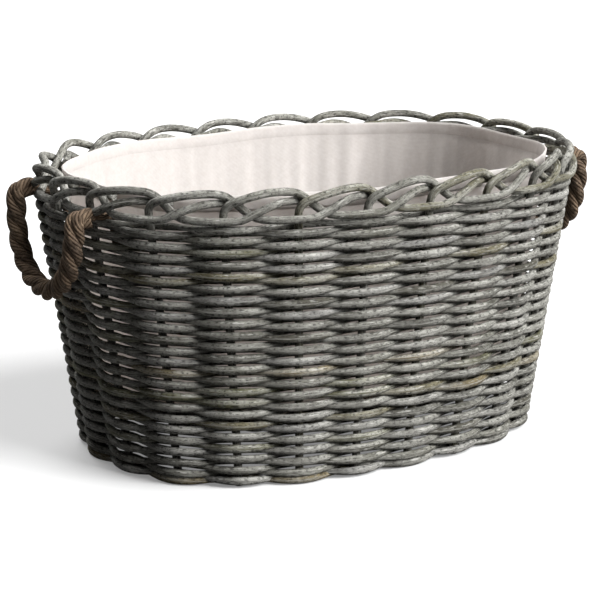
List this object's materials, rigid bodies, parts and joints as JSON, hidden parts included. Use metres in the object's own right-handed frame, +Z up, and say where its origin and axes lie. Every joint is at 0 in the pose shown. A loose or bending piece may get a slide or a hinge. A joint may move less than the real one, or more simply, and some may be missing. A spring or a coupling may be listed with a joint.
{
  "type": "log basket",
  "caption": "Tapered oval basket of weathered willow rods with a looped plaited border, a lift-out cloth liner and a swinging rope handle at each end",
  "frame": {"origin": "on the floor under the middle of the basket, at the bottom centre of its box", "axes": "+X along the basket's length towards the right handle, +Y towards its back, +Z up"},
  "size_m": [0.576, 0.3944, 0.2797],
  "materials": {
    "stakes": "weathered grey-washed willow stakes",
    "weave": "weathered grey-washed willow weaving rods",
    "base": "weathered willow base mat",
    "liner": "off-white woven cotton-polyester cloth",
    "rope": "three-strand twisted natural fibre rope"
  },
  "bodies": {
    "basket": {"stake_01": "stakes", "stake_02": "stakes", "stake_03": "stakes", "stake_04": "stakes", "stake_05": "stakes", "stake_06": "stakes", "stake_07": "stakes", "stake_08": "stakes", "stake_09": "stakes", "stake_10": "stakes", "stake_11": "stakes", "stake_12": "stakes", "stake_13": "stakes", "stake_14": "stakes", "stake_15": "stakes", "stake_16": "stakes", "stake_17": "stakes", "stake_18": "stakes", "stake_19": "stakes", "stake_20": "stakes", "stake_21": "stakes", "stake_22": "stakes", "weave_row_01": "weave", "weave_row_02": "weave", "weave_row_03": "weave", "weave_row_04": "weave", "weave_row_05": "weave", "weave_row_06": "weave", "weave_row_07": "weave", "weave_row_08": "weave", "weave_row_09": "weave", "weave_row_10": "weave", "weave_row_11": "weave", "weave_row_12": "weave", "weave_row_13": "weave", "weave_row_14": "weave", "weave_row_15": "weave", "weave_row_16": "weave", "weave_row_17": "weave", "weave_row_18": "weave", "weave_row_19": "weave", "weave_row_20": "weave", "weave_row_21": "weave", "weave_row_22": "weave", "weave_row_23": "weave", "base_cross_sticks": "base", "base_long_sticks": "base", "base_rods_under": "base", "base_rods_over": "base", "left_rope_ends": "rope", "right_rope_ends": "rope"},
    "liner": {"liner_wall": "liner", "liner_bottom": "liner", "liner_hem": "liner"},
    "left_handle": {"left_rope_handle": "rope"},
    "right_handle": {"right_rope_handle": "rope"}
  },
  "joints": [
    {"name": "liner_lift", "type": "slide", "parent": "basket", "child": "liner", "axis": [0, 0, 1], "range_m": [0, 0.3]},
    {"name": "left_rope_swing", "type": "hinge", "parent": "basket", "child": "left_handle", "pos_m": [-0.2785, 0, 0.2488], "axis": [0, 1, 0], "range_deg": [-3, 170]},
    {"name": "right_rope_swing", "type": "hinge", "parent": "basket", "child": "right_handle", "pos_m": [0.2785, 0, 0.2488], "axis": [0, -1, 0], "range_deg": [-3, 170]}
  ]
}
